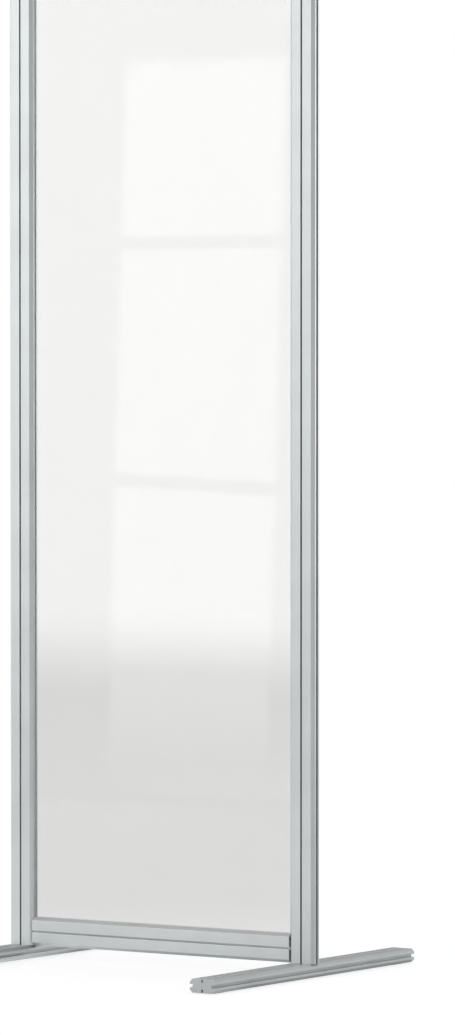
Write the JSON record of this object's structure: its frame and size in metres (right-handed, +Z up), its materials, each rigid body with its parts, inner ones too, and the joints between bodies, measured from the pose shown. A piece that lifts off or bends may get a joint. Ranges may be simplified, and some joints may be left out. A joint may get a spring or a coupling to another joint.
{
  "type": "acrylic room divider",
  "caption": "Free-standing room divider: a clear sheet in a frame of slotted aluminium extrusion, on two cross feet of the same extrusion.",
  "frame": {"origin": "on the floor, below the middle of the screen", "axes": "+Z up, +X across the screen to its right as seen from the front, +Y through the screen from front to rear, along the feet"},
  "size_m": [0.6, 0.59, 1.8],
  "materials": {
    "anodised_frame": "satin",
    "clear_acrylic": "polished",
    "glazing_strip": "satin",
    "cast_lock": "matte",
    "plated_screw": "satin",
    "moulded_cap": "satin",
    "floor_pad": "matte"
  },
  "bodies": {
    "root": {"upright_left": "anodised_frame", "upright_right": "anodised_frame", "top_rail": "anodised_frame", "bottom_rail": "anodised_frame", "foot_left": "anodised_frame", "foot_right": "anodised_frame", "acrylic_panel": "clear_acrylic", "glazing_strip_left": "glazing_strip", "glazing_strip_right": "glazing_strip", "glazing_strip_top": "glazing_strip", "glazing_strip_bottom": "glazing_strip", "corner_lock_top_left": "cast_lock", "corner_lock_top_right": "cast_lock", "corner_lock_bottom_left": "cast_lock", "corner_lock_bottom_right": "cast_lock", "lock_screws_top_left": "plated_screw", "lock_screws_top_right": "plated_screw", "lock_screws_bottom_left": "plated_screw", "lock_screws_bottom_right": "plated_screw", "foot_screws_left": "plated_screw", "foot_screws_right": "plated_screw", "upright_cap_left": "moulded_cap", "upright_cap_right": "moulded_cap", "foot_cap_left_front": "moulded_cap", "foot_cap_left_rear": "moulded_cap", "foot_cap_right_front": "moulded_cap", "foot_cap_right_rear": "moulded_cap", "floor_pad_left_front": "floor_pad", "floor_pad_left_rear": "floor_pad", "floor_pad_right_front": "floor_pad", "floor_pad_right_rear": "floor_pad"}
  },
  "joints": []
}
